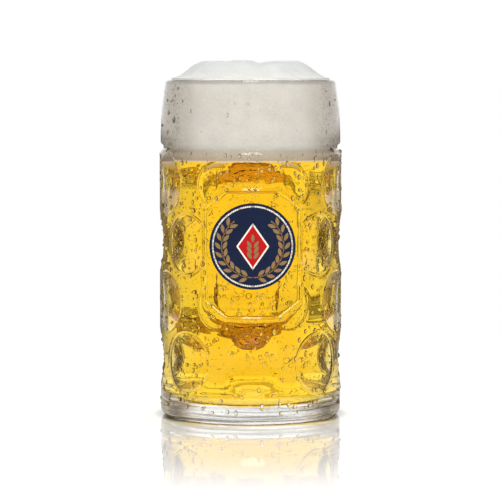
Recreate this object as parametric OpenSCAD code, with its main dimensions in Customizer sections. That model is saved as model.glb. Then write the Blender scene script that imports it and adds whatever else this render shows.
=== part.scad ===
// One-litre dimpled glass mug, filled with lager under a head of foam.
// The mug stands on z = 0 with its axis on Z, the front panel faces -Y and the handle is at +Y.

/* [Mug] */
// Height from the standing face to the lip
mug_h = 200; // [160:1:250]
// Diameter of the body over the lands between the dimples
body_d = 108.7; // [85:0.1:135]
// Wall at the foot of the cup, from the bore to the lands
wall_t = 9.2; // [7:0.1:12]
// Glass between the drink and the standing ring
base_t = 8.8; // [6:0.1:14]
// Radius where the bore meets the bottom
bore_corner_r = 10; // [3:0.5:12]

/* [Foot] */
// Height of the plain band below the dimples
band_h = 17; // [12:0.5:24]
// How far the band sits in from the lands
band_inset = 0.4; // [0.2:0.1:1.5]
// Height of the slope between the band and the lands
band_slope_h = 3; // [1:0.5:5]
// Radius of the heel between the band and the standing ring
heel_r = 5.5; // [5:0.5:9]
// Height of the heel's centre
heel_h = 4.5; // [3:0.5:7]
// Width of the standing ring
ring_w = 7; // [4:0.5:12]
// Rise of the underside inside the ring
push_up = 1.6; // [0.6:0.1:3]

/* [Collar] */
// Height of the plain collar above the groove
collar_h = 38.6; // [25:0.1:50]
// How far the widest part of the collar sits in from the lands
collar_inset = 0.6; // [0.2:0.1:2]
// How far the lip sits in from the lands
rim_inset = 3.5; // [1.5:0.1:6]
// Thickness of the round lip
lip_t = 3.8; // [3:0.1:5]
// Radius on the collar's lower edge
collar_edge_r = 2.2; // [1:0.1:3]
// Height from the top of the dimpled field to the collar
neck_h = 5.4; // [4.5:0.1:8]
// Depth of the groove under the collar
groove_depth = 2.4; // [1.2:0.1:3.2]
// Height of the groove's bottom below the collar
groove_drop = 1.4; // [0.6:0.1:2.5]
// Radius of the shoulder below the groove
shoulder_r = 4.5; // [4:0.1:6]

/* [Dimples] */
// Rows of dimples, each half a step round from the next
dimple_rows = 4; // [2:1:5]
// Dimples in a full turn
dimple_columns = 8; // [6:1:10]
// Height of a dimple on the lands
dimple_h = 35; // [24:0.5:46]
// Depth of a dimple at its middle
dimple_depth = 2.8; // [1.5:0.1:4]
// Depth of the dimples that the front panel cuts into
cut_depth = 1.5; // [0.5:0.1:4]
// Radius of the dish across a dimple
dimple_dish_r = 300; // [120:10:900]

/* [Front panel] */
// Plain wall beside the badge
panel_beside = 3; // [2:0.5:6]
// Plain wall above the badge
panel_above = 7.2; // [3:0.1:10]
// Plain wall below the badge
panel_below = 17.2; // [3:0.1:20]
// Width that each cut corner takes off the panel's top and bottom edges
panel_corner_w = 12.5; // [4:0.5:16]
// Height that each cut corner takes off the panel's sides
panel_corner_h = 9.8; // [4:0.1:18]
// Row of dimples that the badge stands in, counted from the top
badge_row = 2; // [1:1:3]

/* [Handle] */
// Reach of the grip's outer face from the lands
handle_reach = 43.6; // [36:0.1:56]
// Width of the handle across the grip
handle_w = 25; // [18:0.5:28]
// Thickness of the handle
handle_t = 15; // [11:0.5:18]
// Squareness of the handle's section, where 2 is an oval
handle_square = 4.5; // [2:0.1:5]
// Drop from the top of the dimpled field to the upper arm's middle
handle_drop = 14.5; // [13:0.5:24]
// Distance between the middles of the two arms
handle_span = 91.5; // [78:0.5:115]
// Radius of each bend along the middle of the handle
bend_r = 24; // [17:0.5:30]
// Turn of each bend, short of a square corner where the grip bows out
bend_turn = 80; // [70:1:86]
// Width of each root where it meets the wall
root_w = 18; // [14:0.5:28]
// How far each root spreads above and below the arm
root_spread = 1; // [0.5:0.5:4]
// Length along the arm over which a root takes the arm's section
root_len = 14; // [7:0.5:18]
// Plain wall left on each side of the roots
root_beside = 1.5; // [0.5:0.5:5]

/* [Drink] */
// Depth of the froth below the lip
head_h = 47.5; // [20:0.5:70]
// Height of the crown above the lip
crown_h = 11.4; // [4:0.1:18]
// Distance from the bore at which the crown has half its height
crown_setback = 8.7; // [5:0.1:14]
// How sharply the crown drops to the lip
crown_edge = 10.5; // [4:0.5:14]

/* [Badge] */
// Diameter of the printed badge, seen from the front
badge_d = 50; // [36:0.5:62]
// Thickness of each coat of print
coat_t = 0.15; // [0.1:0.01:0.3]
// Distance from the badge's edge to the ring line
ring_inset = 1.5; // [0.8:0.1:3]
// Width of the pale lines
line_w = 0.9; // [0.5:0.1:1.5]
// Width of the lozenge for each millimetre of its height
lozenge_slim = 0.7; // [0.5:0.05:0.9]
// Gap between the wreath and the lozenge's outline
lozenge_gap = 0.4; // [0.2:0.1:1.5]
// Gap between the ring line and the wreath
wreath_gap = 0.6; // [0.3:0.1:1.5]
// Width of the stems
stem_w = 0.7; // [0.4:0.1:1.2]
// Length of a grain
grain_l = 5.2; // [3.5:0.1:7]
// Width of a grain
grain_w = 2.2; // [1.4:0.1:3]
// Lean of each grain away from its stem
grain_lean = 32; // [20:1:45]
// Pairs of grains on each stem
wreath_pairs = 9; // [5:1:11]
// Pairs of grains on the ear in the lozenge
ear_pairs = 3; // [2:1:4]
// Share of the lozenge's height that the ear takes
ear_fill = 0.6; // [0.4:0.05:0.65]

/* [Hidden] */
$fn = 96;
dish_fn = 256;
arc_steps = 8;

glass = [0.84, 0.92, 0.93, 0.45];
lager = [0.95, 0.72, 0.12, 0.85];
froth = [0.96, 0.94, 0.88];
navy = [0.09, 0.14, 0.32];
red = [0.80, 0.07, 0.08];
cream = [0.95, 0.92, 0.84];
gold = [0.76, 0.60, 0.30];

body_r = body_d / 2;
band_r = body_r - band_inset;
foot_r = band_r - heel_r + sqrt(heel_r * heel_r - heel_h * heel_h);
recess_r = foot_r - ring_w;

belly_r = body_r - collar_inset;
rim_r = body_r - rim_inset;
lip_r = lip_t / 2;
lip_z = mug_h - lip_r;
lip_start = 15;
collar_z = mug_h - collar_h;
collar_edge_turn = 70;
belly_z = collar_z + collar_edge_r;
barrel_run = lip_z - belly_z;
barrel_drop = belly_r - rim_r;
barrel_r = (barrel_run * barrel_run + barrel_drop * barrel_drop) / (2 * barrel_drop);

groove_r = body_r - groove_depth;
groove_z = collar_z - groove_drop;
field_top = collar_z - neck_h;
shoulder_z = groove_z - shoulder_r;
shoulder_turn = acos(1 - groove_depth / shoulder_r);

bore_rim_r = rim_r - lip_t;
bore_foot_r = body_r - wall_t;
bore_foot_z = base_t + bore_corner_r;

row_pitch = (field_top - band_h) / dimple_rows;
column_turn = 360 / dimple_columns;
dimple_r = (dimple_h * dimple_h / 4 + dimple_depth * dimple_depth) / (2 * dimple_depth);
cutter_lead = 0.3;
cutter_size = 50;

badge_z = field_top - (badge_row - 0.5) * row_pitch;
badge_r = badge_d / 2;
strip_w = root_w + 2 * root_beside;

arm_z = field_top - handle_drop;
grip_turn = 180 - 2 * bend_turn;
grip_r = (handle_span - 2 * bend_r * (1 - cos(bend_turn))) / (2 * sin(grip_turn / 2));
grip_y = body_r + handle_reach - handle_t / 2 - grip_r;
bend_y = grip_y + (grip_r - bend_r) * sin(bend_turn);
root_y = body_r - wall_t / 2;
handle_sides = 24;
arm_steps = 6;
bend_steps = 9;
grip_steps = 5;

beer_z = mug_h - head_h;
crown_mid_r = bore_rim_r - crown_setback;
crown_steps = 20;

line_r = badge_r - ring_inset;
grain_reach = stem_w + grain_l * sin(grain_lean) + grain_w / 4;
wreath_r = line_r - line_w - wreath_gap - grain_reach;
wreath_open = 36;
wreath_foot = 10;
lozenge_line = line_w * sqrt(1 + 1 / (lozenge_slim * lozenge_slim));
lozenge_h = 2 * (wreath_r - grain_reach - lozenge_gap - lozenge_line);
ear_l = lozenge_h * ear_fill;
ear_pitch = 0.63;
ear_size = ear_l / (grain_l * (1 + ear_pairs * ear_pitch));

// Points along an arc about c, from angle a0 to a1
function arc(c, r, a0, a1, steps = arc_steps) = [
    for (i = [0:steps]) let (a = a0 + (a1 - a0) * i / steps) c + r * [cos(a), sin(a)]
];

// Radius of the tapered bore at height z
function bore_r(z) =
    bore_foot_r + (bore_rim_r - bore_foot_r) * (z - bore_foot_z) / (lip_z - bore_foot_z);

// Height of the froth at radius r
function crown_z(r) = mug_h + crown_h / (1 + pow(r / crown_mid_r, crown_edge));

// The bottom of the cup, from the axis to the wall
function bore_bottom() = concat(
    [[0, base_t]],
    arc([bore_foot_r - bore_corner_r, bore_foot_z], bore_corner_r, -90, 0)
);

// Underside, heel, band, body and shoulder, from the axis up to the groove
function lower_outside() = concat(
    [[0, push_up]],
    [[recess_r - push_up, push_up], [recess_r, 0]],
    arc([band_r - heel_r, heel_h], heel_r, -asin(heel_h / heel_r), 0),
    [[band_r, band_h - band_slope_h / 2], [body_r, band_h + band_slope_h / 2]],
    arc([body_r - shoulder_r, shoulder_z], shoulder_r, 0, shoulder_turn)
);

// Groove, collar and lip, up to the bore
function upper_outside() = concat(
    [[groove_r, groove_z]],
    arc([belly_r - collar_edge_r, belly_z], collar_edge_r, -collar_edge_turn, 0),
    arc([belly_r - barrel_r, belly_z], barrel_r, 0, asin(barrel_run / barrel_r)),
    arc([rim_r - lip_r, lip_z], lip_r, lip_start, 180)
);

function reversed(points) = [for (i = [len(points) - 1:-1:0]) points[i]];

// The cup before its dimples are pressed
module plain_cup() {
    rotate_extrude()
        polygon(concat(lower_outside(), upper_outside(), reversed(bore_bottom())));
}

// One dished dimple of a given depth, facing -Y at height zero
module dimple(depth) {
    intersection() {
        translate([0, -(body_r - depth + dimple_r), 0])
            rotate([0, 90, 0])
                rotate_extrude()
                    intersection() {
                        translate([dimple_r - dimple_dish_r, 0])
                            circle(r = dimple_dish_r, $fn = dish_fn);
                        translate([0, -cutter_size])
                            square([dimple_r + 1, 2 * cutter_size]);
                    }
        translate([-cutter_size / 2, -body_r - cutter_lead, -cutter_size / 2])
            cube([cutter_size, depth + 2 * cutter_lead, cutter_size]);
    }
}

// Staggered rows of dimples, with none behind the handle and shallow ones at the panel's corners
module dimple_field() {
    for (row = [1:dimple_rows], column = [0:dimple_columns - 1]) {
        turn = (column + (row % 2) / 2) * column_turn;
        at_corner = abs(row - badge_row) == 1 && min(turn, 360 - turn) < column_turn;
        if (turn != 180)
            translate([0, 0, field_top - (row - 0.5) * row_pitch])
                rotate([0, 0, turn])
                    dimple(at_corner ? cut_depth : dimple_depth);
    }
}

// The octagon of wall that stays plain for the badge
module panel_keep() {
    side = badge_r + panel_beside;
    top = badge_r + panel_above;
    bottom = -badge_r - panel_below;
    edge = side - panel_corner_w;
    translate([0, 0, badge_z])
        rotate([90, 0, 0])
            linear_extrude(height = body_d)
                polygon([
                    [edge, bottom], [side, bottom + panel_corner_h],
                    [side, top - panel_corner_h], [edge, top],
                    [-edge, top], [-side, top - panel_corner_h],
                    [-side, bottom + panel_corner_h], [-edge, bottom]
                ]);
}

// The strip of wall that stays plain for the handle
module strip_keep() {
    translate([-strip_w / 2, 0, 0])
        cube([strip_w, body_d, mug_h]);
}

module mug_body() {
    color(glass)
        difference() {
            plain_cup();
            difference() {
                dimple_field();
                panel_keep();
                strip_keep();
            }
        }
}

// Stations along the handle, each with its y, its z and its heading above +Y
function bend_stations(c, r, a0, a1, steps) = [
    for (i = [1:steps]) let (a = a0 + (a1 - a0) * i / steps)
        [c[0] + r * cos(a), c[1] + r * sin(a), a - 90]
];
function arm_stations(z, y0, y1, heading) = [
    for (i = [0:arm_steps]) [y0 + (y1 - y0) * i / arm_steps, z, heading]
];
handle_stations = concat(
    arm_stations(arm_z, root_y, bend_y, 0),
    bend_stations([bend_y, arm_z - bend_r], bend_r, 90, 90 - bend_turn, bend_steps),
    bend_stations([grip_y, arm_z - handle_span / 2], grip_r, grip_turn / 2, -grip_turn / 2, grip_steps),
    bend_stations([bend_y, arm_z - handle_span + bend_r], bend_r, bend_turn - 90, -90, bend_steps - 1),
    arm_stations(arm_z - handle_span, bend_y, root_y, -180)
);

// Share of the root's section at distance y from the axis, 1 at the wall and 0 on the arm
function near_root(y) = pow(max(0, 1 - max(0, y - body_r) / root_len), 2);

// Signed power, for a rounded square section
function squared(x) = sign(x) * pow(abs(x), 2 / handle_square);

// The section's corners at a station
function section_ring(s) = [
    for (i = [0:handle_sides - 1])
        let (
            a = 360 * i / handle_sides,
            u = squared(cos(a)) * (handle_t / 2 + root_spread * near_root(s[0])),
            v = squared(sin(a)) * (handle_w + (root_w - handle_w) * near_root(s[0])) / 2
        )
            [v, s[0] - u * sin(s[2]), s[1] + u * cos(s[2])]
];

// A loop of glass through all the stations, closed at both ends
module handle_loop() {
    last = len(handle_stations) - 1;
    points = [for (s = handle_stations) each section_ring(s)];
    walls = [
        for (k = [0:last - 1], i = [0:handle_sides - 1])
            let (j = (i + 1) % handle_sides, a = k * handle_sides, b = a + handle_sides)
                each [[a + i, b + i, b + j], [a + i, b + j, a + j]]
    ];
    ends = [
        [for (i = [0:handle_sides - 1]) i],
        [for (i = [handle_sides - 1:-1:0]) last * handle_sides + i]
    ];
    polyhedron(points, concat(walls, ends));
}

module handle() {
    color(glass)
        difference() {
            handle_loop();
            cylinder(r = body_r, h = mug_h);
        }
}

module beer() {
    color(lager)
        rotate_extrude()
            polygon(concat(bore_bottom(), [[bore_r(beer_z), beer_z], [0, beer_z]]));
}

module foam_head() {
    crown = [
        for (i = [0:crown_steps])
            let (r = bore_rim_r * sqrt(1 - i / crown_steps)) [r, crown_z(r)]
    ];
    color(froth)
        rotate_extrude()
            polygon(concat(
                [[0, beer_z], [bore_r(beer_z), beer_z], [bore_rim_r, lip_z]],
                crown
            ));
}

// A coat of print on the panel, in the outline of its children, over a number of coats below it
module coat(below) {
    intersection() {
        difference() {
            cylinder(r = body_r + (below + 1) * coat_t, h = mug_h);
            translate([0, 0, -1])
                cylinder(r = body_r + below * coat_t, h = mug_h + 2);
        }
        translate([0, 0, badge_z])
            rotate([90, 0, 0])
                linear_extrude(height = body_d)
                    children();
    }
}

module lozenge(h) {
    w = h * lozenge_slim;
    polygon([[w / 2, 0], [0, h / 2], [-w / 2, 0], [0, -h / 2]]);
}

// A pointed grain that starts at the origin and lies along +Y
module grain(size) {
    l = grain_l * size;
    w = grain_w * size;
    r = (l * l + w * w) / (4 * w);
    translate([0, l / 2])
        intersection() {
            translate([r - w / 2, 0])
                circle(r = r);
            translate([w / 2 - r, 0])
                circle(r = r);
        }
}

// Two grains leaning out from a stem that runs along +Y
module grain_pair(size = 1) {
    for (side = [-1, 1])
        translate([side * stem_w * size, 0])
            rotate(-side * grain_lean)
                grain(size);
}

// Two stems of grain from the bottom of the badge up round its sides
module wreath() {
    step = (180 - wreath_open - wreath_foot) / wreath_pairs;
    open_x = badge_d * tan(wreath_open);
    difference() {
        circle(r = wreath_r + stem_w / 2);
        circle(r = wreath_r - stem_w / 2);
        polygon([[0, 0], [open_x, badge_d], [-open_x, badge_d]]);
    }
    for (side = [0, 1], i = [0:wreath_pairs - 1])
        mirror([side, 0])
            rotate(wreath_foot - 90 + i * step)
                translate([wreath_r, 0])
                    grain_pair();
}

// One upright ear of grain
module ear() {
    step = grain_l * ear_size * ear_pitch;
    translate([0, -ear_l / 2]) {
        for (i = [0:ear_pairs - 1])
            translate([0, i * step])
                grain_pair(ear_size);
        translate([0, ear_pairs * step])
            grain(ear_size);
    }
}

module badge_ground() {
    color(navy)
        coat(0)
            circle(d = badge_d);
}

module badge_lines() {
    color(cream)
        coat(1) {
            difference() {
                circle(r = line_r);
                circle(r = line_r - line_w);
            }
            difference() {
                lozenge(lozenge_h + 2 * lozenge_line);
                lozenge(lozenge_h);
            }
        }
}

module badge_lozenge() {
    color(red)
        coat(1)
            lozenge(lozenge_h);
}

module badge_barley() {
    color(gold) {
        coat(1)
            wreath();
        coat(2)
            ear();
    }
}

mug_body();
handle();
beer();
foam_head();
badge_ground();
badge_lines();
badge_lozenge();
badge_barley();
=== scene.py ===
from math import acos, asin, cos, degrees, pi, radians, sin, sqrt
import bmesh
import bpy
import numpy as np
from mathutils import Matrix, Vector


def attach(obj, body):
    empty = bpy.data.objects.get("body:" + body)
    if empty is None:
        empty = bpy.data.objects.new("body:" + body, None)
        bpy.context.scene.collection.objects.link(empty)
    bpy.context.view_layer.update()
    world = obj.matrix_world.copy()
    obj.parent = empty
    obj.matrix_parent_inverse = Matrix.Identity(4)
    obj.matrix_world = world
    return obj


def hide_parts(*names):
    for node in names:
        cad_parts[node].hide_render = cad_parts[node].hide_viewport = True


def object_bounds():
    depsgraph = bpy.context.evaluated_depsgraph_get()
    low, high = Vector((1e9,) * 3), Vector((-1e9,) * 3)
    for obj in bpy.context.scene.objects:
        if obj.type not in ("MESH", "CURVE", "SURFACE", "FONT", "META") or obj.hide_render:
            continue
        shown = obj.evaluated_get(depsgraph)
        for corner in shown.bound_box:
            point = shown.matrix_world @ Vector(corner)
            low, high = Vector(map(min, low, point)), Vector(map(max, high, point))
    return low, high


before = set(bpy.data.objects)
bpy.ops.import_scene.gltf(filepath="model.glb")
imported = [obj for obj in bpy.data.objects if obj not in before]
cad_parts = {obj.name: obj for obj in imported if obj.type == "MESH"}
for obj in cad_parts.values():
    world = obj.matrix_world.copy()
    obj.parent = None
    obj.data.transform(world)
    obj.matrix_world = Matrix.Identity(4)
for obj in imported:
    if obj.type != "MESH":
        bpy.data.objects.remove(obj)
cadLow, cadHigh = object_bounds()
scene = bpy.context.scene
rng = np.random.default_rng(11)
mm = 0.001
farOff = 99.0    # mm, well clear of anything on the mug
tiny = 0.0001    # keeps a division off zero
white = (1, 1, 1, 1)


# small helpers, all sizes in mm until the mesh is made

def smoothstep(a, b, x):
    t = np.clip((x - a) / (b - a), 0, 1)
    return t * t * (3 - 2 * t)


def softMin(a, b, k):
    h = np.clip(0.5 + 0.5 * (b - a) / k, 0, 1)
    return b + (a - b) * h - k * h * (1 - h)


def arc(cr, cz, r, a0, a1, steps):
    turns = [radians(a0 + (a1 - a0) * i / steps) for i in range(steps + 1)]
    return [(cr + r * cos(a), cz + r * sin(a)) for a in turns]


def line(p, q, steps):
    return [(p[0] + (q[0] - p[0]) * i / steps, p[1] + (q[1] - p[1]) * i / steps)
            for i in range(steps + 1)]


# runs of points in one list, without the doubles where they meet
def chain(*runs):
    out = []
    for run in runs:
        for p in run:
            if not out or abs(p[0] - out[-1][0]) + abs(p[1] - out[-1][1]) > 1e-6:
                out.append(p)
    return out


# theta runs from the front (-Y) towards +X
def around(theta, r, z):
    return np.stack([r * np.sin(theta), -r * np.cos(theta), z], axis=-1)


# angle, radius and height of every point of a profile turned round the axis
def spun(profile, columns):
    theta = np.arange(columns) * 2 * pi / columns
    r, z = (np.array([p[k] for p in profile])[:, None] + 0 * theta for k in (0, 1))
    return theta[None, :] + 0 * r, r, z


# rings of points (rows x columns x 3) with a pole at each end become one closed mesh
def closedRings(rings, low, high):
    rows, cols = rings.shape[:2]
    verts = np.concatenate([rings.reshape(-1, 3), [low, high]])
    i = np.arange(rows - 1)[:, None] * cols
    j = np.arange(cols)[None, :]
    k = (j + 1) % cols
    quads = np.stack([i + j, i + k, i + cols + k, i + cols + j], axis=-1).reshape(-1, 4)
    faces = [tuple(q) for q in quads]
    top = (rows - 1) * cols
    faces += [(rows * cols, (a + 1) % cols, a) for a in range(cols)]
    faces += [(rows * cols + 1, top + a, top + (a + 1) % cols) for a in range(cols)]
    return verts, faces


def makeObject(name, verts, faces, material=None, sharp=None):
    mesh = bpy.data.meshes.new(name)
    mesh.from_pydata([tuple(v) for v in np.asarray(verts, float) * mm], [], faces)
    mesh.shade_smooth()
    if sharp:
        mesh.set_sharp_from_angle(angle=radians(sharp))
    mesh.validate()
    obj = bpy.data.objects.new(name, mesh)
    scene.collection.objects.link(obj)
    if material:
        mesh.materials.append(material)
    return obj


# turns what the modifiers make into a plain mesh
def bake(obj):
    dg = bpy.context.evaluated_depsgraph_get()
    mesh = bpy.data.meshes.new_from_object(obj.evaluated_get(dg))
    obj.modifiers.clear()
    obj.data = mesh


def belongs(obj, slot, *nodes):
    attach(obj, "root")
    if nodes:
        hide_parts(*nodes)


# a socket of a node tree that takes part in sums
class Sock:
    def __init__(self, tree, out=None):
        self.tree = tree
        self.out = out

    def feed(self, socket, value):
        if isinstance(value, Sock):
            self.tree.links.new(value.out, socket)
        else:
            socket.default_value = value

    def add(self, kind, inputs=(), out=0, **props):
        node = self.tree.nodes.new(kind)
        for k, v in props.items():
            setattr(node, k, v)
        for k, v in dict(inputs).items():
            self.feed(node.inputs[k], v)
        return Sock(self.tree, node.outputs[out])

    def math(self, op, *args):
        return self.add("ShaderNodeMath", dict(enumerate(args)), operation=op)

    def __add__(self, o):
        return self.math("ADD", self, o)

    def __radd__(self, o):
        return self.math("ADD", o, self)

    def __sub__(self, o):
        return self.math("SUBTRACT", self, o)

    def __rsub__(self, o):
        return self.math("SUBTRACT", o, self)

    def __mul__(self, o):
        return self.math("MULTIPLY", self, o)

    def __rmul__(self, o):
        return self.math("MULTIPLY", o, self)

    def __truediv__(self, o):
        return self.math("DIVIDE", self, o)

    def __rtruediv__(self, o):
        return self.math("DIVIDE", o, self)

    def __pow__(self, o):
        return self.math("POWER", self, o)

    def __neg__(self):
        return self.math("MULTIPLY", self, -1.0)

    def __abs__(self):
        return self.math("ABSOLUTE", self)

    def above(self, o):
        return self.math("GREATER_THAN", self, o)

    def largest(self, *others):
        top = self
        for other in others:
            top = self.math("MAXIMUM", top, other)
        return top

    def smooth(self, lo, hi, a=0.0, b=1.0):
        ends = {0: self, 1: lo, 2: hi, 3: a, 4: b}
        return self.add("ShaderNodeMapRange", ends, interpolation_type="SMOOTHSTEP")

    def blend(self, a, b):
        return self.add("ShaderNodeMix", {0: self, 6: a, 7: b}, out=2, data_type="RGBA")

    def xyz(self):
        return [self.add("ShaderNodeSeparateXYZ", {0: self}, out=i) for i in range(3)]

    def rgb(self, r, g, b):
        return self.add("ShaderNodeCombineColor", {0: r, 1: g, 2: b})

    def shade(self, color, by):    # a colour times another
        both = {0: 1.0, 6: color, 7: by}
        return self.add("ShaderNodeMix", both, out=2, data_type="RGBA", blend_type="MULTIPLY")

    def noise(self, place, scale, detail):
        return self.add("ShaderNodeTexNoise", {"Vector": place, "Scale": scale, "Detail": detail})

    def bump(self, height, depth, strength=1.0):
        return self.add("ShaderNodeBump", {"Height": height, "Strength": strength, "Distance": depth})

    def ray(self, name):
        return self.add("ShaderNodeLightPath", out=name)


def newMaterial(name):
    mat = bpy.data.materials.new(name)
    mat.use_nodes = True
    tree = mat.node_tree
    tree.nodes.clear()
    root = Sock(tree)
    bsdf = tree.nodes.new("ShaderNodeBsdfPrincipled")
    output = tree.nodes.new("ShaderNodeOutputMaterial")
    tree.links.new(bsdf.outputs[0], output.inputs["Surface"])
    place = root.add("ShaderNodeTexCoord", out="Object")
    return mat, root, bsdf, output, place


# the glass: cup and handle, whose wall has rows of dimples, a panel and a plain strip for the handle

mug = dict(bodyR=54.35, bandR=53.95, bandZ=17, slopeH=3, heelR=5.5, heelZ=4.5,
           pushUp=1.6, recessR=44.61, poleShare=0.2, ringEdge=(0.5, 0.2), ringFlat=3,
           bellyR=53.75, rimR=50.85, lipR=1.9, lipZ=198.1, lipTurn=15, collarZ=161.4, edgeR=2.2, edgeTurn=-70,
           grooveR=51.95, grooveZ=160, grooveTop=(0.05, 0.7), shoulderR=4.5,
           boreFootR=45.15, boreRimR=47.05, boreFootZ=18.8, baseZ=8.8, cornerR=10, poleR=3, boreSkin=0.5,
           pressedR=50, pressedZ=(14, 160.5), columns=360, rowStep=0.95, sharp=38)
dimples = dict(rows=(138.625, 103.875, 69.125, 34.375), perTurn=8, depth=2.8, height=35, dishR=300,
               edge=1.1, slope=0.32, beadW=1.3, beadH=0.25, fineBead=0.3, worn=0.1, wornTurn=(0.3, 0.55),
               nearTurn=0.55, nearZ=24, leastCos=0.3, plainGap=9)
panel = dict(side=28, top=136.1, bottom=61.7, cornerW=12.5, cornerH=9.8, step=1.8, fade=4,
             lift=1.3, liftTurn=0.8, besideTurn=0.5, borderW=1.6, borderH=0.4, fineBorder=0.4)
strip = dict(side=10.5, step=1.8)


def boreR(z):
    wider = mug["boreRimR"] - mug["boreFootR"]
    taller = mug["lipZ"] - mug["boreFootZ"]
    return mug["boreFootR"] + wider * (z - mug["boreFootZ"]) / taller


# radius of a dimple's curve up and down
def dimpleR():
    return (dimples["height"] ** 2 / 4 + dimples["depth"] ** 2) / (2 * dimples["depth"])


def outsideProfile():
    m = mug
    heelTurn = degrees(asin(m["heelZ"] / m["heelR"]))
    shoulderZ = m["grooveZ"] - m["shoulderR"]
    shoulderTurn = degrees(acos(1 - (m["bodyR"] - m["grooveR"]) / m["shoulderR"]))
    run = m["lipZ"] - m["collarZ"] - m["edgeR"]
    drop = m["bellyR"] - m["rimR"]
    barrelR = (run * run + drop * drop) / (2 * drop)
    slopeLow = m["bandZ"] - m["slopeH"] / 2
    slopeTop = m["bandZ"] + m["slopeH"] / 2
    steps = int((shoulderZ - slopeTop) / m["rowStep"])
    edgeIn, edgeUp = m["ringEdge"]
    grooveOut, grooveUp = m["grooveTop"]
    return chain(
        line((m["recessR"] * m["poleShare"], m["pushUp"]), (m["recessR"] - m["pushUp"], m["pushUp"]), 3),
        [(m["recessR"] - edgeIn, edgeUp), (m["recessR"], 0), (m["recessR"] + m["ringFlat"], 0)],
        arc(m["bandR"] - m["heelR"], m["heelZ"], m["heelR"], -heelTurn, 0, 8),
        line((m["bandR"], m["heelZ"]), (m["bandR"], slopeLow), 6),
        line((m["bandR"], slopeLow), (m["bodyR"], slopeTop), 4),
        line((m["bodyR"], slopeTop), (m["bodyR"], shoulderZ), steps),
        arc(m["bodyR"] - m["shoulderR"], shoulderZ, m["shoulderR"], 0, shoulderTurn, 8),
        [(m["grooveR"], m["grooveZ"]), (m["grooveR"] + grooveOut, m["grooveZ"] + grooveUp)],
        arc(m["bellyR"] - m["edgeR"], m["collarZ"] + m["edgeR"], m["edgeR"], m["edgeTurn"], 0, 7),
        arc(m["bellyR"] - barrelR, m["collarZ"] + m["edgeR"], barrelR, 0, degrees(asin(run / barrelR)), 14),
        arc(m["rimR"] - m["lipR"], m["lipZ"], m["lipR"], m["lipTurn"], 180, 12))


def insideProfile():
    m = mug
    cornerX = m["boreFootR"] - m["cornerR"]
    return chain(
        line((m["boreRimR"], m["lipZ"]), (m["boreFootR"], m["boreFootZ"]), 8),
        arc(cornerX, m["boreFootZ"], m["cornerR"], 0, -90, 9),
        line((cornerX, m["baseZ"]), (m["poleR"], m["baseZ"]), 3))[1:]


# distance outside the panel's outline, below zero on the panel
def panelGap(theta, z):
    p = panel
    x = np.abs(mug["bodyR"] * np.sin(theta))
    lean = sqrt(p["cornerW"] ** 2 + p["cornerH"] ** 2)
    inset = (x - p["side"] + p["cornerW"]) * p["cornerH"]
    gap = np.maximum.reduce([
        x - p["side"], z - p["top"], p["bottom"] - z,
        (inset + (z - p["top"]) * p["cornerW"]) / lean,
        (inset + (p["bottom"] - z) * p["cornerW"]) / lean])
    return np.where(np.cos(theta) > 0, gap, farOff)


# radius of the pressed wall, from the plain radius r at height z
def pressed(theta, r, z):
    d = dimples
    bodyR, curveR = mug["bodyR"], dimpleR()
    gap = panelGap(theta, z)
    behind = np.where(np.cos(theta) > 0, farOff, np.abs(bodyR * np.sin(theta)) - strip["side"])
    out, edge = r.copy(), np.full_like(r, farOff)
    for row, rowZ in enumerate(d["rows"]):
        v = z - rowZ
        fade = panel["step"] / 2 if row % 2 else panel["fade"]
        plain = np.maximum(smoothstep(fade, -panel["step"] / 2, gap),
                           smoothstep(strip["step"] / 2, -strip["step"] / 2, behind))
        for column in range(d["perTurn"]):
            turn = (column + ((row + 1) % 2) / 2) * 2 * pi / d["perTurn"]
            if abs(turn - pi) < 1e-6:    # the handle's strip has no dimple
                continue
            phi = (theta - turn + pi) % (2 * pi) - pi
            near = (np.abs(phi) < d["nearTurn"]) & (np.abs(v) < d["nearZ"])
            t = bodyR * np.sin(phi)
            dish = np.sqrt(np.maximum((curveR - t * t / (2 * d["dishR"])) ** 2 - v * v, 1))
            across = bodyR - d["depth"] + curveR - dish
            if row % 2 == 0 and abs(abs(turn - pi) - pi) < panel["besideTurn"]:
                across = across + panel["lift"]    # shallower where the panel cuts in
            cut = across / np.maximum(np.cos(phi), d["leastCos"])
            out = np.where(near, softMin(out, cut + np.maximum(r - cut, 0) * plain, d["edge"]), out)
            edge = np.where(near, np.minimum(edge, cut - r + d["plainGap"] * plain), edge)
    fromFront = np.abs((theta + pi) % (2 * pi) - pi)
    worn = d["worn"] + (1 - d["worn"]) * smoothstep(*d["wornTurn"], fromFront)    # almost flat in front
    bead = d["beadH"] * worn * smoothstep(d["beadW"], 0, np.abs(edge) / d["slope"])
    return out + bead + panel["borderH"] * smoothstep(panel["borderW"], 0, np.abs(gap))


def outsideRings(profile):
    theta, r, z = spun(profile, mug["columns"])
    low, high = mug["pressedZ"]
    field = (z > low) & (z < high) & (r > mug["pressedR"])
    return around(theta, np.where(field, pressed(theta, r, z), r), z)


handle = dict(reach=43.5, width=25, thick=15, square=4.5, armZ=141.5, span=91.5, bendR=24, bendTurn=80,
              rootW=18, spread=1, rootLen=14, rootY=49.75, sides=32, armSteps=11, bendSteps=16, gripSteps=14,
              armY=(54.5, 58.0), armFrom=(22.0, 30.0))


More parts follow.
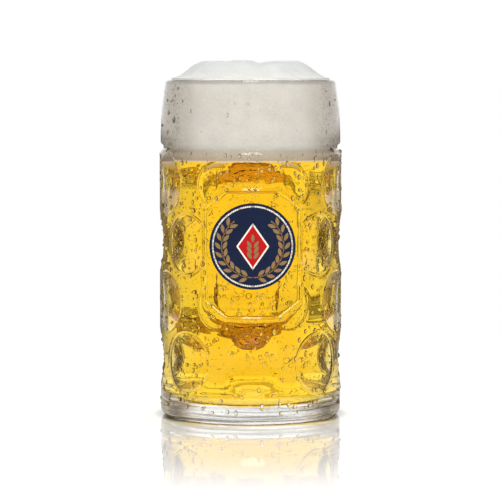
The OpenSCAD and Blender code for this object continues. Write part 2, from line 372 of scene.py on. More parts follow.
# points and headings along the middle of the loop, from the upper root to the lower one
def handlePath():
    h = handle
    bend, gripTurn = radians(h["bendTurn"]), 180 - 2 * h["bendTurn"]
    gripR = (h["span"] - 2 * h["bendR"] * (1 - cos(bend))) / (2 * sin(radians(gripTurn / 2)))
    gripY = mug["bodyR"] + h["reach"] - h["thick"] / 2 - gripR
    bendY = gripY + (gripR - h["bendR"]) * sin(bend)
    lowZ = h["armZ"] - h["span"]

    def turnRun(cy, cz, r, a0, a1, steps):
        return [(cy + r * cos(radians(a)), cz + r * sin(radians(a)), a - 90)
                for a in np.linspace(a0, a1, steps + 1)[1:]]
    path = [(y, h["armZ"], 0) for y in np.linspace(h["rootY"], bendY, h["armSteps"])]
    path += turnRun(bendY, h["armZ"] - h["bendR"], h["bendR"], 90, 90 - h["bendTurn"], h["bendSteps"])
    path += turnRun(gripY, (h["armZ"] + lowZ) / 2, gripR, gripTurn / 2, -gripTurn / 2, h["gripSteps"])
    path += turnRun(bendY, lowZ + h["bendR"], h["bendR"], h["bendTurn"] - 90, -90, h["bendSteps"])
    path += [(y, lowZ, -180) for y in np.linspace(bendY, h["rootY"], h["armSteps"])[1:]]
    return path


def squared(a):
    return np.sign(a) * np.abs(a) ** (2 / handle["square"])


def handleRings(path):
    h = handle
    a = np.arange(h["sides"]) * 2 * pi / h["sides"]
    rings = []
    for y, z, heading in path:
        nearRoot = max(0, 1 - max(0, y - mug["bodyR"]) / h["rootLen"]) ** 2
        u = squared(np.cos(a)) * (h["thick"] / 2 + h["spread"] * nearRoot)
        v = squared(np.sin(a)) * (h["width"] + (h["rootW"] - h["width"]) * nearRoot) / 2
        tilt = radians(heading)
        rings.append(np.stack([v, y - u * sin(tilt), z + u * cos(tilt)], axis=-1))
    return np.array(rings)


lager = dict(ior=1.34, color=(0.983, 0.86, 0.058, 1), density=52, topZ=152.5, bite=0.1, poleR=4,
             columns=180, sharp=50)
glassLook = dict(color=(0.985, 0.995, 0.992, 1), ior=1.5, wetShine=0.03, wave=0.05, waveScale=70.0,
                 stipple=0.3, stippleScale=260.0, stippleZ=(1.7, 2.2), ripple=0.9, rippleScale=90.0,
                 skinR=(48.0, 49.0), uneven=0.00003)
# colours of the painted shade in the thick base
baseShadeLook = dict(dark=(0.17, 0.16, 0.12, 1), light=(1.0, 1.0, 0.99, 1), endDark=(0.1, 0.09, 0.06, 1),
                endLight=(0.75, 0.73, 0.66, 1), along=14.0, across=560.0, streaks=(0.36, 0.54),
                endX=(0.03, 0.044), topZ=(0.0095, 0.0125))


# glass and water: relief gives the normal, or else a faint unevenness does, and tint the colour if it varies
def clear(name, color, ior, shine=1.0, ripples=120.0, relief=None, tint=None):
    mat, root, bsdf, output, place = newMaterial(name)
    bsdf.inputs["Base Color"].default_value = color
    bsdf.inputs["Roughness"].default_value = 0.0
    bsdf.inputs["IOR"].default_value = ior
    bsdf.inputs["Transmission Weight"].default_value = 1.0
    bsdf.inputs["Specular Tint"].default_value = (shine, shine, shine, 1)
    if relief:
        normal = relief(root, place)
    else:
        normal = root.bump(root.noise(place, ripples, 2.0), glassLook["uneven"])
    root.feed(bsdf.inputs["Normal"], normal)
    if tint:
        root.feed(bsdf.inputs["Base Color"], tint(root, place))
    return mat, root, output


# fine relief over the mesh: crisper beads and border, waves, a stippled underside and wavy arms
def beadRelief(root, place):
    x, y, z = (v * 1000.0 for v in place.xyz())
    d, p, g = dimples, panel, glassLook
    bodyR, curveR = mug["bodyR"], dimpleR()
    turn = x.math("ARCTAN2", x, -y)
    step = pi / d["perTurn"]
    edge = None
    for row, rowZ in enumerate(d["rows"]):
        phi = turn.math("WRAP", turn - ((row + 1) % 2) * step, step, -step)
        v, t = z - rowZ, phi.math("SINE", phi) * bodyR
        dish = v * v / (2 * curveR) + t * t / (2 * d["dishR"]) + (bodyR - d["depth"])
        if row % 2 == 0:
            dish = dish + turn.math("LESS_THAN", abs(turn), p["liftTurn"]) * p["lift"]
        out = dish / phi.math("COSINE", phi) - bodyR
        if row % 2:
            out = out + abs(turn).above(pi - step) * farOff    # none behind the handle
        edge = edge.math("MINIMUM", edge, out) if edge else out
    lean = sqrt(p["cornerW"] ** 2 + p["cornerH"] ** 2)
    inset = (abs(x) - p["side"] + p["cornerW"]) * p["cornerH"]
    behind = y.above(0.0) * farOff
    gap = (abs(x) - p["side"]).largest(
        z - p["top"], p["bottom"] - z,
        (inset + (z - p["top"]) * p["cornerW"]) / lean,
        (inset + (p["bottom"] - z) * p["cornerW"]) / lean) + behind
    back = abs(x) - strip["side"] + (farOff - behind)
    edge = abs((edge / d["slope"]).largest(-gap, -back))
    rim = edge.smooth(0.0, d["beadW"], d["fineBead"], 0.0) * abs(turn).smooth(*d["wornTurn"], d["worn"], 1.0)
    border = abs(gap).smooth(0.0, p["borderW"], p["fineBorder"], 0.0)
    skinFrom, skinTo = g["skinR"]
    skin = (x * x + y * y).smooth(skinFrom ** 2, skinTo ** 2)    # not on the bore
    wave = root.noise(place, g["waveScale"], 1.0) * g["wave"]
    stipple = root.noise(place, g["stippleScale"], 2.0) * z.smooth(*g["stippleZ"], g["stipple"], 0.0)
    middleZ = handle["armZ"] - handle["span"] / 2
    arms = y.smooth(*handle["armY"]) * abs(z - middleZ).smooth(*handle["armFrom"])
    ripple = root.noise(place, g["rippleScale"], 2.0) * arms * g["ripple"]
    return root.bump((rim + border) * skin + wave + stipple + ripple, mm)


# painted shade in the thick base: greyer than the wall, in streaks round the mug, and darkest at the two
# sides
def paintedBaseShade(root, place):
    b = baseShadeLook
    x, y, z = place.xyz()
    flow = root.add("ShaderNodeCombineXYZ", {0: x * b["along"], 1: y * b["along"], 2: z * b["across"]})
    streak = root.noise(flow, 1.0, 2.0).smooth(*b["streaks"])
    middle = streak.blend(b["dark"], b["light"])
    ends = streak.blend(b["endDark"], b["endLight"])
    shadedBase = abs(x).smooth(*b["endX"]).blend(middle, ends)
    return z.smooth(*b["topZ"]).blend(shadedBase, glassLook["color"])


glassMat = clear("pressedGlass", glassLook["color"], glassLook["ior"], relief=beadRelief, tint=paintedBaseShade)[0]
wetMat = clear("glassInBeer", glassLook["color"], glassLook["ior"], glassLook["wetShine"])[0]

outside = outsideProfile()
outer = outsideRings(outside)
inner = around(*spun(insideProfile(), mug["columns"]))
cup = closedRings(np.concatenate([outer, inner]), (0, 0, mug["pushUp"]), (0, 0, mug["baseZ"]))
glass = makeObject("glassMug", *cup, glassMat)
path = handlePath()
hoop = closedRings(handleRings(path), (0, *path[0][:2]), (0, *path[-1][:2]))
loop = makeObject("handleLoop", *hoop, glassMat)
for obj in (glass, loop):
    bm = bmesh.new()
    bm.from_mesh(obj.data)
    bmesh.ops.recalc_face_normals(bm, faces=bm.faces)
    bm.to_mesh(obj.data)
    bm.free()
union = glass.modifiers.new("handle", "BOOLEAN")
union.operation = "UNION"
union.solver = "EXACT"
union.object = loop
bake(glass)
bpy.data.objects.remove(loop)
glass.data.shade_smooth()
glass.data.set_sharp_from_angle(angle=radians(mug["sharp"]))
glass.data.materials.append(wetMat)
boreLow = mug["baseZ"] - lager["bite"]
for face in glass.data.polygons:    # the bore below the beer line
    c = face.center / mm
    if boreLow < c.z < lager["topZ"] and c.xy.length < boreR(c.z) + mug["boreSkin"]:
        face.material_index = 1
belongs(glass, "pressed_glass", "mug_body", "handle")
print("glass", len(glass.data.vertices), "points", len(glass.data.polygons), "faces")


# the beer, which reaches a little into the glass so that no air shows between them

beerMat, b, output = clear("lager", white, lager["ior"], 0.0)
soak = b.add("ShaderNodeVolumeAbsorption", {"Color": lager["color"], "Density": lager["density"]})
b.feed(output.inputs["Volume"], soak)

bite, poleR = lager["bite"], lager["poleR"]
cornerX = mug["boreFootR"] - mug["cornerR"]
floorZ = mug["baseZ"] - bite
topR = boreR(lager["topZ"]) + bite
beerLine = chain(
    line((poleR, floorZ), (cornerX, floorZ), 3),
    arc(cornerX, mug["boreFootZ"], mug["cornerR"] + bite, -90, 0, 12),
    line((mug["boreFootR"] + bite, mug["boreFootZ"]), (topR, lager["topZ"]), 6),
    line((topR, lager["topZ"]), (poleR, lager["topZ"]), 3))
beerRings = around(*spun(beerLine, lager["columns"]))
beerShape = closedRings(beerRings, (0, 0, floorZ), (0, 0, lager["topZ"]))
beer = makeObject("beer", *beerShape, beerMat, sharp=lager["sharp"])
belongs(beer, "lager", "beer")
print("beer", len(beer.data.vertices), "points")


# the foam, with lengths in metres in its material

froth = dict(bite=0.06, sink=0.3, poleR=4, rows=60, columns=240, sharp=60,
             lipZ=200, crownH=11.4, crownR=38.35, crownEdge=10.5, domeZ=(200.0, 205), settle=0.2,
             dip=1.4, dipX=5, dipW=5.5, puffs=240, puffR=42, puffSize=(1.2, 4.5), puffH=0.45,
             ragged=0.45, raggedR=40, waves=(17, 29, 43, 71))
frothLook = dict(wet=(0.70, 0.55, 0.37, 1), cream=(0.95, 0.90, 0.815, 1), white=(0.62, 0.625, 0.605, 1),
                 creamZ=(0.153, 0.160), whiteZ=(0.195, 0.205), fine=0.24, fineScale=900.0,
                 lumps=0.2, lumpScale=120.0, cellScale=1100.0, shadeSpeckles=(0.5, 0.62), speckledShade=0.32,
                 edgeX=(0.028, 0.045), edgeZ=(0.196, 0.2), sideShade=0.24, sideShadeWarmth=0.06,
                 lipFrom=(0.1965, 0.1978), lipTo=(0.1985, 0.1998), lipShadeDepth=0.18,
                 leak=0.42, leakZ=(0.1523, 0.1535), leakGreen=0.8, leakBlue=0.62,
                 rough=0.75, specular=0.2, cells=0.5, bump=0.35, bumpH=0.0008)
k = frothLook
foamMat, f, bsdf, _, place = newMaterial("froth")
x, _, z = place.xyz()
fine = f.noise(place, k["fineScale"], 3.0)
cells = f.add("ShaderNodeTexVoronoi", {"Vector": place, "Scale": k["cellScale"]})
lumps = f.noise(place, k["lumpScale"], 4.0)
# painted shade on the collar froth's two sides: darker, speckled and warmer towards the edges
sideShadeMask = abs(x).smooth(*k["edgeX"]) * z.smooth(*k["edgeZ"], 1.0, 0.0)
sideShade = sideShadeMask * (fine.smooth(*k["shadeSpeckles"]) * k["speckledShade"] + k["sideShade"])
lipShade = z.smooth(*k["lipFrom"]) * z.smooth(*k["lipTo"], k["lipShadeDepth"], 0.0)    # painted shade, a darker line in the froth just under the lip
tone = z.smooth(*k["creamZ"]).blend(k["wet"], k["cream"])
# the crown gets a greyer colour than the froth below it: painted shade over the crown
tone = z.smooth(*k["whiteZ"]).blend(tone, k["white"])
grainy = (fine - 0.5) * k["fine"] + (lumps - 0.5) * k["lumps"] - sideShade - lipShade + 1.0
warm = 1.0 - sideShadeMask * k["sideShadeWarmth"]
f.feed(bsdf.inputs["Base Color"], f.shade(tone, f.rgb(grainy, grainy * warm, grainy * warm * warm)))
bsdf.inputs["Roughness"].default_value = k["rough"]
bsdf.inputs["Specular IOR Level"].default_value = k["specular"]
leak = z.smooth(*k["leakZ"], k["leak"], 0.0)    # light that comes down through the froth to its underside
f.feed(bsdf.inputs["Emission Color"], f.rgb(leak, leak * k["leakGreen"], leak * k["leakBlue"]))
bsdf.inputs["Emission Strength"].default_value = 1.0
f.feed(bsdf.inputs["Normal"], f.bump(cells * k["cells"] + lumps, k["bumpH"], k["bump"]))


def crownZ(r):
    return froth["lipZ"] + froth["crownH"] / (1 + (r / froth["crownR"]) ** froth["crownEdge"])


low = lager["topZ"] - froth["sink"]
lowR = boreR(lager["topZ"]) + froth["bite"]
rimR = mug["boreRimR"] + froth["bite"]
crownRs = [rimR * sqrt(1 - i / froth["rows"]) for i in range(froth["rows"])]
foamLine = chain(
    line((froth["poleR"], low), (lowR, low), 4),
    line((lowR, low), (rimR, mug["lipZ"]), 12),
    [(r, crownZ(r)) for r in crownRs])
theta, r, z = spun(foamLine, froth["columns"])
px, py = r * np.sin(theta), -r * np.cos(theta)
valley = froth["dip"] * np.exp(-((px - froth["dipX"]) / froth["dipW"]) ** 2 / 2)    # parts the crown in two
puffs = np.zeros_like(z)
for _ in range(froth["puffs"]):
    cx, cy = rng.uniform(-froth["puffR"], froth["puffR"], 2)
    size = rng.uniform(*froth["puffSize"])
    rise = rng.uniform(-0.5, 0.5)
    puffs += rise * size * froth["puffH"] * np.exp(-((px - cx) ** 2 + (py - cy) ** 2) / (2 * size * size))
dome = smoothstep(*froth["domeZ"], z)
z = np.minimum(z + dome * (puffs - valley - froth["settle"]), froth["lipZ"] + froth["crownH"])
starts = rng.uniform(0, 6, len(froth["waves"]))
fringe = sum(np.sin(theta * n + a) / len(froth["waves"]) for n, a in zip(froth["waves"], starts))
z = z + (z < low + 0.01) * (r > froth["raggedR"]) * fringe * froth["ragged"]
foamShape = closedRings(around(theta, r, z), (0, 0, low), (0, 0, float(z[-1].mean())))
foam = makeObject("foam", *foamShape, foamMat, sharp=froth["sharp"])
belongs(foam, "froth", "foam_head")
print("foam", len(foam.data.vertices), "points")


# the print on the panel

badge = dict(r=25, z=103.875, coat=0.15, ringInset=1.5, lineW=0.9, lozengeH=24.06, slim=0.7,
             wreathR=17.99, wreathOpen=36, wreathFoot=10, stemW=0.7,
             grainL=5.2, grainW=2.2, plump=0.85, lean=32, pairs=9, earPairs=3, earFill=0.6, earPitch=0.63,
             cut=1.4, sharp=40)
enamelLook = dict(navy=(0.008, 0.015, 0.048, 1), cream=(0.86, 0.80, 0.68, 1), red=(0.48, 0.001, 0.002, 1),
                  gold=(0.27, 0.16, 0.062, 1), rough=0.32, roughSpread=0.2, specular=0.2,
                  speck=0.22, speckScale=1500.0, cloud=0.2, cloudScale=160.0)


def enamel(name, color):
    k = enamelLook
    mat, e, bsdf, _, place = newMaterial(name)
    speck = e.noise(place, k["speckScale"], 2.0)
    cloud = e.noise(place, k["cloudScale"], 3.0)
    tone = (speck - 0.5) * k["speck"] + (cloud - 0.5) * k["cloud"] + 1.0
    e.feed(bsdf.inputs["Base Color"], e.shade(color, e.rgb(tone, tone, tone)))
    e.feed(bsdf.inputs["Roughness"], cloud * k["roughSpread"] + (k["rough"] - k["roughSpread"] / 2))
    bsdf.inputs["Specular IOR Level"].default_value = k["specular"]
    return mat


# flat outlines, seen from the front, become a skin of one coat's thickness on the glass
def printed(name, outlines, below, mat):
    bm = bmesh.new()
    for outline in outlines:
        bm.faces.new([bm.verts.new((px, 0, pz)) for px, pz in outline])
    cuts = int(badge["r"] / badge["cut"]) + 1
    for i in range(-cuts, cuts + 1):
        bmesh.ops.bisect_plane(bm, geom=bm.verts[:] + bm.edges[:] + bm.faces[:], dist=1e-5,
                               plane_co=(i * badge["cut"], 0, 0), plane_no=(1, 0, 0))
    bmesh.ops.triangulate(bm, faces=bm.faces)
    base = bm.verts[:]
    raised = bmesh.ops.extrude_face_region(bm, geom=bm.faces[:])["geom"]
    lifted = [e for e in raised if isinstance(e, bmesh.types.BMVert)]
    skinR = mug["bodyR"] + below * badge["coat"]
    for layer, r in ((base, skinR), (lifted, skinR + badge["coat"])):
        for v in layer:
            v.co.y = -sqrt(r * r - v.co.x ** 2)
    for v in bm.verts:
        v.co.z += badge["z"]
    bmesh.ops.remove_doubles(bm, verts=bm.verts, dist=1e-4)
    bmesh.ops.recalc_face_normals(bm, faces=bm.faces)
    for v in bm.verts:
        v.co *= mm
    mesh = bpy.data.meshes.new(name)
    bm.to_mesh(mesh)
    bm.free()
    mesh.materials.append(mat)
    mesh.shade_smooth()
    mesh.set_sharp_from_angle(angle=radians(badge["sharp"]))
    obj = bpy.data.objects.new(name, mesh)
    scene.collection.objects.link(obj)
    return obj


def circle(r, n=96):
    return [(r * cos(2 * pi * i / n), r * sin(2 * pi * i / n)) for i in range(n)]


# a ring, or a part of one, as a row of four-sided outlines
def band(rOut, rIn, a0, a1, n):
    step = (a1 - a0) / n
    ways = [(cos(radians(a0 + i * step)), sin(radians(a0 + i * step))) for i in range(n + 1)]
    return [[(r * c, r * s) for r, (c, s) in ((rIn, p), (rOut, p), (rOut, q), (rIn, q))]
            for p, q in zip(ways, ways[1:])]


def lozenge(h):
    w = h * badge["slim"]
    return [(w / 2, 0), (0, h / 2), (-w / 2, 0), (0, -h / 2)]


# a grain from (px, pz) along the heading, in degrees from +X
def grain(px, pz, heading, size=1.0, n=8):
    long, wide = badge["grainL"] * size, badge["grainW"] * size
    side = [(i / n, sin(pi * i / n) ** badge["plump"] * 0.5) for i in range(n + 1)]
    pts = [(a * long, b * wide) for a, b in side] + [(a * long, -b * wide) for a, b in side[-2:0:-1]]
    c, s = cos(radians(heading)), sin(radians(heading))
    return [(px + a * c - b * s, pz + a * s + b * c) for a, b in pts]


def grainPair(px, pz, heading, size=1.0):
    out = []
    for side in (-1, 1):
        c, s = cos(radians(heading - 90)), sin(radians(heading - 90))
        off = side * badge["stemW"] * size
        out.append(grain(px + off * c, pz + off * s, heading - side * badge["lean"], size))
    return out


def wreath():
    d = badge
    step = (180 - d["wreathOpen"] - d["wreathFoot"]) / d["pairs"]
    shapes = []
    for i in range(d["pairs"]):
        a = d["wreathFoot"] - 90 + i * step
        px, pz = d["wreathR"] * cos(radians(a)), d["wreathR"] * sin(radians(a))
        for shape in grainPair(px, pz, a + 90):
            shapes += [shape, [(-qx, qz) for qx, qz in reversed(shape)]]
    half = d["stemW"] / 2
    stem = band(d["wreathR"] + half, d["wreathR"] - half, 90 + d["wreathOpen"], 450 - d["wreathOpen"], 90)
    return shapes + stem


def ear():
    d = badge
    length = d["lozengeH"] * d["earFill"]
    size = length / (d["grainL"] * (1 + d["earPairs"] * d["earPitch"]))
    step = d["grainL"] * size * d["earPitch"]
    shapes = []
    for i in range(d["earPairs"]):
        shapes += grainPair(0, i * step - length / 2, 90, size)
    return shapes + [grain(0, d["earPairs"] * step - length / 2, 90, size)]


navy = enamel("navyEnamel", enamelLook["navy"])
cream = enamel("creamEnamel", enamelLook["cream"])
red = enamel("redEnamel", enamelLook["red"])
gold = enamel("goldEnamel", enamelLook["gold"])
ring = badge["r"] - badge["ringInset"]
outlineH = badge["lozengeH"] + 2 * badge["lineW"] * sqrt(1 + 1 / badge["slim"] ** 2)
big, small = lozenge(outlineH), lozenge(badge["lozengeH"])
frameSides = [[small[i], big[i], big[(i + 1) % 4], small[(i + 1) % 4]] for i in range(4)]
ground = printed("badgeGround", [circle(badge["r"])], 0, navy)
belongs(ground, "navy_enamel", "badge_ground")
lines = printed("badgeLines", band(ring, ring - badge["lineW"], 0, 360, 120) + frameSides, 1, cream)
belongs(lines, "cream_enamel", "badge_lines")
diamond = printed("badgeLozenge", [small], 1, red)
belongs(diamond, "red_enamel", "badge_lozenge")
barley = printed("badgeBarley", wreath(), 1, gold)
earObj = printed("badgeEar", ear(), 2, gold)
belongs(barley, "gold_enamel", "badge_barley")
belongs(earObj, "gold_enamel", "badge_barley")
print("badge", len(barley.data.vertices), "points in the wreath")


# droplets of condensation

dew = dict(count=4600, area=0.06, smallest=0.25, largest=1.3, skew=2.2, spacing=0.8, stretch=0.9, draw=3.0,
           seed=7, sides=7, height=0.85, sink=0.1, cap=((0.87, 0.5), (0.48, 0.88)),
           ior=1.33, shine=0.1, ripples=900.0, rim=(0.25, 0.2, 0.1, 1), rimEdge=(0.3, 0.8),
           skinZ=(5, 196), skinR=49, badgeGap=1.2, sideX=44, middleX=26, middleZ=60, thin=0.6,
           collarZ=158, collarX=(42, 49.5), collarWet=0.7, collarDry=0.05)


# painted shade: the edge of a drop is darker and browner than its top
def dropRimShade(root, place):
    x, y = place.xyz()[:2]
    nx, ny = root.add("ShaderNodeNewGeometry", out="Normal").xyz()[:2]
    flat = abs(nx * x + ny * y) / (x * x + y * y) ** 0.5    # 1 on top of a drop, 0 at its edge
    return flat.smooth(*dew["rimEdge"]).blend(dew["rim"], white)


waterMat = clear("dew", white, dew["ior"], dew["shine"], ripples=dew["ripples"], tint=dropRimShade)[0]
capLine = [(1.0, -dew["sink"])] + [(r, dew["height"] * h) for r, h in dew["cap"]]
capRings = around(*spun(capLine, dew["sides"]))
drop = makeObject("oneDrop", *closedRings(capRings, (0, 0, -dew["sink"]), (0, 0, dew["height"])), waterMat)

# the drops sit on a copy of the wall, which says how wet each point is
skinLow, skinHigh = dew["skinZ"]
skinRows = [i for i, p in enumerate(outside) if skinLow < p[1] < skinHigh and p[0] > dew["skinR"]]
skin = outer[skinRows[0]:skinRows[-1] + 1]
rows, cols = skin.shape[:2]
skinFaces = [(i * cols + j, i * cols + (j + 1) % cols, (i + 1) * cols + (j + 1) % cols, (i + 1) * cols + j)
             for i in range(rows - 1) for j in range(cols)]
pts = skin.reshape(-1, 3)
droplets = makeObject("droplets", pts, skinFaces)
side, up = np.abs(pts[:, 0]), pts[:, 2]
fromBadge = np.hypot(side, up - badge["z"])
damp = np.where((pts[:, 1] < 0) & (fromBadge < badge["r"] + dew["badgeGap"]), 0.0, 1.0)
thinner = (side > dew["sideX"]) | ((side < dew["middleX"]) & (up < dew["middleZ"]))
damp = np.where(thinner, dew["thin"] * damp, damp)
collarLow, collarHigh = dew["collarX"]
collar = np.where((side > collarLow) & (side < collarHigh), dew["collarWet"], dew["collarDry"])
damp = np.where(up > dew["collarZ"], collar, damp)
wet = droplets.data.attributes.new("wet", "FLOAT", "POINT")
wet.data.foreach_set("value", damp.astype(np.float32))

tree = bpy.data.node_groups.new("scatterDew", "GeometryNodeTree")
kinds = dict(Geometry="Geometry", Density="Float", Spacing="Float", Smallest="Float", Largest="Float",
             Skew="Float", Stretch="Float", Seed="Int", Drop="Object", Material="Material")
sockets = {name: tree.interface.new_socket(name=name, in_out="INPUT", socket_type="NodeSocket" + kind)
           for name, kind in kinds.items()}
tree.interface.new_socket(name="Geometry", in_out="OUTPUT", socket_type="NodeSocketGeometry")
n = Sock(tree)
given = tree.nodes.new("NodeGroupInput")


def take(name):
    return Sock(tree, given.outputs[name])


def chance(seed):
    return n.add("FunctionNodeRandomValue", {2: 0.0, 3: 1.0, "Seed": seed}, out=1, data_type="FLOAT")


wetness = n.add("GeometryNodeInputNamedAttribute", {"Name": "wet"}, data_type="FLOAT")
points = n.add("GeometryNodeDistributePointsOnFaces", distribute_method="POISSON", inputs={
    "Mesh": take("Geometry"), "Distance Min": take("Spacing"), "Density Max": take("Density"),
    "Density Factor": wetness, "Seed": take("Seed")})
normal = Sock(tree, points.out.node.outputs["Normal"])
size = chance(take("Seed")) ** take("Skew") * (take("Largest") - take("Smallest")) + take("Smallest")
drawn = size * (chance(take("Seed") + 1) ** dew["draw"] * take("Stretch") + 1.0)    # some run downwards
facing = n.add("FunctionNodeAlignRotationToVector", {"Vector": normal}, axis="Z")
upright = n.add("FunctionNodeAlignRotationToVector", {"Rotation": facing, "Vector": (0, 0, 1)},
                axis="Y", pivot_axis="Z")
scattered = n.add("GeometryNodeInstanceOnPoints", {
    "Points": points, "Instance": n.add("GeometryNodeObjectInfo", {"Object": take("Drop")}, out="Geometry"),
    "Rotation": upright, "Scale": n.add("ShaderNodeCombineXYZ", {0: size, 1: drawn, 2: size})})
real = n.add("GeometryNodeRealizeInstances", {"Geometry": scattered})
done = n.add("GeometryNodeSetMaterial", {"Geometry": real, "Material": take("Material")})
n.feed(tree.nodes.new("NodeGroupOutput").inputs[0], done)
mod = droplets.modifiers.new("dew", "NODES")
mod.node_group = tree
amounts = dict(Density=dew["count"] / dew["area"], Spacing=dew["spacing"] * mm, Smallest=dew["smallest"],
               Largest=dew["largest"], Skew=dew["skew"], Stretch=dew["stretch"], Seed=dew["seed"],
               Drop=drop, Material=waterMat)
for name, value in amounts.items():
    mod[sockets[name].identifier] = value
bake(droplets)
for v in droplets.data.vertices:    # none stands out of the mug's own box
    v.co.x = min(max(v.co.x, cadLow[0]), cadHigh[0])
    v.co.y = max(v.co.y, cadLow[1])
droplets.data.shade_smooth()
bpy.data.objects.remove(drop)
belongs(droplets, "pressed_glass")
print("droplets", len(droplets.data.vertices), "points", len(droplets.data.polygons), "faces")


# floor, light and camera, in metres and with directions of length 1

floorLook = dict(r=0.45, segments=128, drop=-0.0003, white=0.35, glow=0.75, ior=1.5, rough=0.02, gloss=1.25,
                 fade=(0.15, 0.33), contact=0.0, heel=(0.0515, 0.0605), cast=(0.9, 0.82, 0.6, 1),
                 castFade=(0.05, 0.1), under=0.08, beyond=0.8, underFade=(0.053, 0.063),
                 near=1.65, nearFade=(0.085, 0.13))
sky = dict(back=1.3, side=0.22, front=0.9, backTurn=0.95, sideTurn=0.7,
           glimpse=0.4, glimpseFrom=(0.2, 0.3), glimpseTo=(0.5, 0.6), low=0.95, high=1.3, highZ=(0.4, 0.52),
           room=(0.94, 1.12, 0.92, 1), roomTurn=(-0.7, -0.4), pale=(1.0, 1.03, 1.2, 1),
           warm=(1.1, 0.92, 0.75, 1),
           box=7.0, boxAside=(0.24, 0.28), boxFrom=(0.5, 0.55), boxTo=(0.9, 0.95), shade=0.12,
           stripFrom=(-0.02, 0.02), stripTo=(0.3, 0.45), stripBack=(-0.1, 0.2), ambient=0.1,
           key=1.9, keyDir=(0.0, -0.87, 0.5), fill=0.6, fillDir=(0.0, 0.87, 0.5))


# 1 straight behind the mug, 0 to its sides and -1 in front of it
def backness(x, y):
    return y / (x * x + y * y + tiny) ** 0.5


# light that comes through the glass: full from behind, a glimpse between, and weaker from sides and front
def backlight(behind):
    front = behind.smooth(-sky["backTurn"], -sky["sideTurn"], sky["front"], 0.0)
    glimpse = behind.smooth(*sky["glimpseFrom"]) * behind.smooth(*sky["glimpseTo"], sky["glimpse"], 0.0)
    return behind.smooth(sky["sideTurn"], sky["backTurn"], sky["side"], sky["back"]) + glimpse + front


k = floorLook
floorMat, s, _, output, place = newMaterial("whiteFloor")
x, y = place.xyz()[:2]
dist = (x * x + y * y) ** 0.5
shine = dist.smooth(*k["fade"], k["gloss"], 0.0) * s.add("ShaderNodeFresnel", {"IOR": k["ior"]})
# painted shadow under the mug and a painted pool of light close round it, in the floor's glow that the glass
# shows
paintedShadowAndPool = dist.smooth(*k["underFade"], k["under"], k["beyond"]) * dist.smooth(*k["nearFade"], k["near"], 1.0)
contact = dist.smooth(*k["heel"], k["contact"], 1.0)    # the shadow under the heel
lit = s.ray("Diffuse Depth").above(0.5)
seenThrough = (1.0 - lit) * s.ray("Is Transmission Ray") * (backlight(backness(x, y)) * paintedShadowAndPool)
glow = (s.ray("Is Camera Ray") * contact + lit + seenThrough) * k["glow"]
golden = dist.smooth(*k["castFade"]).blend(k["cast"], white)    # light tinted by the beer
# painted pale light on the floor close round the mug, as seen through the glass
palePool = dist.smooth(*k["nearFade"]).blend(sky["pale"], white)
glowColor = s.ray("Is Transmission Ray").blend(golden, palePool)
matte = s.add("ShaderNodeBsdfDiffuse", {"Color": contact.blend((0, 0, 0, 1), (k["white"],) * 3 + (1,))})
lamp = s.add("ShaderNodeEmission", {"Color": glowColor, "Strength": glow})
bright = s.add("ShaderNodeAddShader", {0: matte, 1: lamp})
mirror = s.add("ShaderNodeBsdfGlossy", {"Color": white, "Roughness": k["rough"]})
s.feed(output.inputs["Surface"], s.add("ShaderNodeMixShader", {0: shine, 1: bright, 2: mirror}))
bm = bmesh.new()
bmesh.ops.create_circle(bm, cap_ends=True, radius=k["r"], segments=k["segments"])
for v in bm.verts:
    v.co.z = k["drop"]
mesh = bpy.data.meshes.new("floor")
bm.to_mesh(mesh)
bm.free()
mesh.materials.append(floorMat)
floor = bpy.data.objects.new("floor", mesh)
scene.collection.objects.link(floor)
print("floor", k["r"], "m")

world = bpy.data.worlds.new("studio")
scene.world = world
world.use_nodes = True
world.node_tree.nodes.clear()
s = Sock(world.node_tree)
x, y, z = s.add("ShaderNodeTexCoord", out="Generated").xyz()
behind = backness(x, y)


def lamplight(direction, power):
    towards = x * direction[0] + y * direction[1] + z * direction[2]
    return towards.largest(0.0) * power


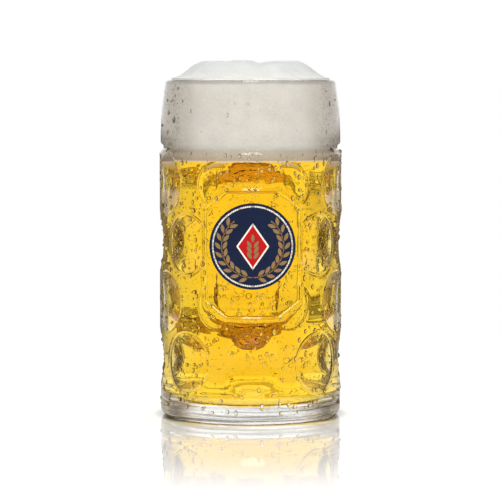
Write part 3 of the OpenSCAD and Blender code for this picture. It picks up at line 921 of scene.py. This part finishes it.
# what the glass shows, what shiny surfaces mirror, and what lights the rest
through = backlight(behind) * z.smooth(*sky["highZ"], sky["low"], sky["high"])
aside = abs(x) / (abs(y) + tiny)
box = aside.smooth(*sky["boxAside"], 1.0, 0.0) * z.smooth(*sky["boxFrom"]) * z.smooth(*sky["boxTo"], 1.0, 0.0)
strips = z.smooth(*sky["stripTo"], 1.0, 0.0) * z.smooth(*sky["stripFrom"]) * y.smooth(*sky["stripBack"])
shiny = box * sky["box"] + strips + sky["shade"]
plain = lamplight(sky["keyDir"], sky["key"]) + lamplight(sky["fillDir"], sky["fill"]) + sky["ambient"]
unlit = 1.0 - s.ray("Diffuse Depth").above(0.5)
bent = s.ray("Is Transmission Ray") * unlit
level = plain + s.ray("Is Glossy Ray") * unlit * (shiny - plain)
level = level + bent * (through - level)    # a refracted ray counts as glossy too
level = level + s.ray("Is Camera Ray") * (1.0 - level)
beside = behind.smooth(sky["sideTurn"], sky["backTurn"], 1.0, 0.0) * bent
tint = beside.blend(white, sky["warm"])
tint = (z.smooth(*sky["highZ"]) * bent).blend(tint, sky["pale"])
tint = (behind.smooth(*sky["roomTurn"], 1.0, 0.0) * bent).blend(tint, sky["room"])
studio = s.add("ShaderNodeBackground", {"Color": tint, "Strength": level})
s.feed(world.node_tree.nodes.new("ShaderNodeOutputWorld").inputs["Surface"], studio)
print("light", sky["back"], sky["key"], sky["fill"])

shot = dict(turn=-1.4, away=1.37, eyeZ=0.191, aimX=-0.0003, aimZ=0.0982,
            lens=164.6, sensor=36, clip=(0.05, 20))
cam = bpy.data.cameras.new("camera")
cam.lens = shot["lens"]
cam.sensor_width = shot["sensor"]
cam.clip_start, cam.clip_end = shot["clip"]
camera = bpy.data.objects.new("camera", cam)
scene.collection.objects.link(camera)
turn = radians(shot["turn"])
eye = Vector((sin(turn) * shot["away"], -cos(turn) * shot["away"], shot["eyeZ"]))
aim = Vector((shot["aimX"], 0, shot["aimZ"]))
camera.location = eye
camera.rotation_euler = (aim - eye).to_track_quat("-Z", "Y").to_euler()
scene.camera = camera
print("camera", [round(v, 3) for v in eye])

scene.view_settings.view_transform = "Standard"
scene.cycles.use_denoising = True
scene.cycles.max_bounces = 24
scene.cycles.transmission_bounces = 24
scene.cycles.glossy_bounces = 12
